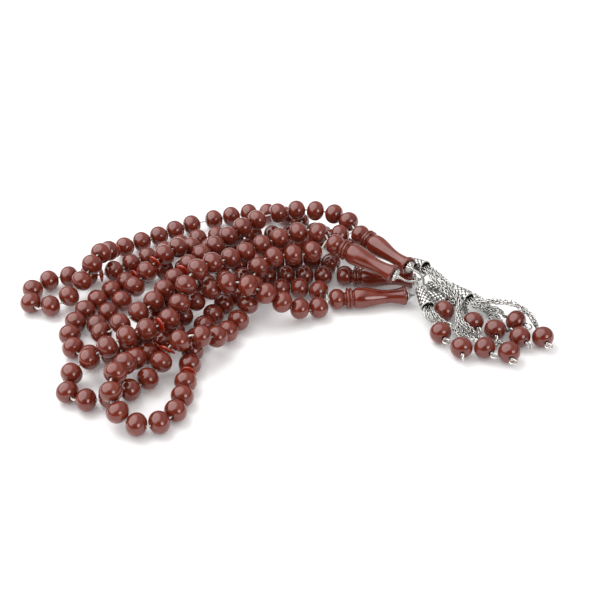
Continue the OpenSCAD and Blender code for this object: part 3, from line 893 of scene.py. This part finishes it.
def facing(nodes, links, direction, towards, low, high):
    """From 0 to 1 as a direction comes to point the given way."""
    node = nodes.new("ShaderNodeVectorMath")
    node.operation = "DOT_PRODUCT"
    links.new(direction, node.inputs[0])
    node.inputs[1].default_value = Vector(towards).normalized()
    spread = nodes.new("ShaderNodeMapRange")
    spread.interpolation_type = "SMOOTHSTEP"
    spread.inputs["From Min"].default_value = low
    spread.inputs["From Max"].default_value = high
    links.new(node.outputs["Value"], spread.inputs["Value"])
    return spread.outputs["Result"]


def make_world():
    """A white tent. Reflections show its bright upper left, a window, a dark front and a dark horizon."""
    world = bpy.data.worlds.new("studio")
    world.use_nodes = True
    bpy.context.scene.world = world
    nodes, links = world.node_tree.nodes, world.node_tree.links
    direction = nodes.new("ShaderNodeTexCoord").outputs["Generated"]
    tent = grey(TENT_PLAIN)
    for towards, low, high, brightness in TENT:
        part = facing(nodes, links, direction, towards, low, high)
        tent = mix(nodes, links, part, tent, grey(brightness))
    rays = nodes.new("ShaderNodeLightPath")
    colour = mix(nodes, links, rays.outputs["Is Glossy Ray"], grey(1), tent)
    links.new(colour, nodes["Background"].inputs["Color"])


def make_floor():
    shape = Shape()
    side, thick = 3000, 20
    corners = np.array([[-1, -1], [1, -1], [1, 1], [-1, 1]]) * side
    rings = np.stack([np.column_stack([corners, np.full(4, z)]) for z in (-thick, 0)]) - SHIFT
    shape.grid(rings)
    floor = shape.build("floor", [floor_material()])


# ---------------------------------------------------------------- the scene

def finish_piece(shape, node, body, materials):
    """Builds a shape as the piece that stands for a CAD node."""
    piece = shape.build(f"{node}_finished", materials)
    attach(piece, body)
    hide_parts(node)


def make_strand(k, resin, disc, cord, silver, shade_silver):
    strand, number = Strand(k), k + 1
    fixed, slider = "strings", SLIDERS[k]

    shape = Shape()
    add_cord(shape, strand)
    finish_piece(shape, f"cord_{number}", fixed, [cord])

    halves = (("first", range(HALFWAY + 1)), ("second", range(HALFWAY + 1, PIECES)))
    for half, places in halves:
        shape = Shape()
        for i in places:
            if not is_disc(i) and i != slider:
                add_bead(shape, strand.middle(i), strand.heading(i))
        finish_piece(shape, f"beads_{half}_half_{number}", fixed, [resin])

    shape = Shape()
    add_bead(shape, strand.middle(slider), strand.heading(slider))
    node = f"counting_bead_{number}"
    finish_piece(shape, node, node, [resin])

    for kind, i in (("separator_first", FIRST_DISC), ("separator_second", SECOND_DISC)):
        shape = Shape()
        lathe(shape, disc_profile(), strand.middle(i), strand.heading(i), 56)
        node = f"{kind}_{number}"
        finish_piece(shape, node, node, [disc])

    shape = Shape()
    lathe(shape, imam_profile(), in_imam(k, 0), imam_axis(k), 72)
    node = f"imam_{number}"
    finish_piece(shape, node, node, [resin])

    shape = Shape()
    add_bail(shape, k)
    finish_piece(shape, f"bail_{number}", fixed, [silver])

    shape = Shape()
    add_cap(shape, k)
    finish_piece(shape, f"lattice_cap_{number}", fixed, [silver, shade_silver])

    shape = Shape()
    for n in (0, 1):
        add_bundle(shape, k, n)
        add_headpin(shape, k, n)
    finish_piece(shape, f"chains_{number}", fixed, [silver])

    for n, place in ((0, "right"), (1, "left")):
        shape = Shape()
        add_bead(shape, np.array(PENDANTS[k][n][1], float), pin_axis(k, n))
        node = f"pendant_bead_{place}_{number}"
        finish_piece(shape, node, node, [resin])


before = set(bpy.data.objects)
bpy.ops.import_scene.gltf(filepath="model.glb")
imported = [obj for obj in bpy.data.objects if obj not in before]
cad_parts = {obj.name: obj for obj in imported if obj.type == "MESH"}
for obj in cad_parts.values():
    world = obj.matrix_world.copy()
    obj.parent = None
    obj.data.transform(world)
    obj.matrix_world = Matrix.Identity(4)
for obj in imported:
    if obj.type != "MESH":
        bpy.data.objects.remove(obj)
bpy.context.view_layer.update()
make_camera()
resin, disc, cord = resin_material(), disc_material(), cord_material()
# The near-black colour is painted shade in the hollows and between touching links, placed by ambient
# occlusion.
silver = silver_material("silver", (0.74, 0.73, 0.7), (0.02, 0.019, 0.018), 0.14)
# A darker metal that paints shade into the caps' grooves and hollows.
shade_silver = silver_material("silver_painted_shade", (0.14, 0.135, 0.13), (0.012, 0.012, 0.012), 0.35)
for k in STRANDS:
    make_strand(k, resin, disc, cord, silver, shade_silver)
make_floor()
make_world()
area_light("softbox", at=(-0.35, 0.25, 0.75), aim=(0, 0, 0), size=(0.6, 0.45), power=4)
bpy.context.scene.view_settings.view_transform = "Standard"
bpy.context.scene.view_settings.look = "None"
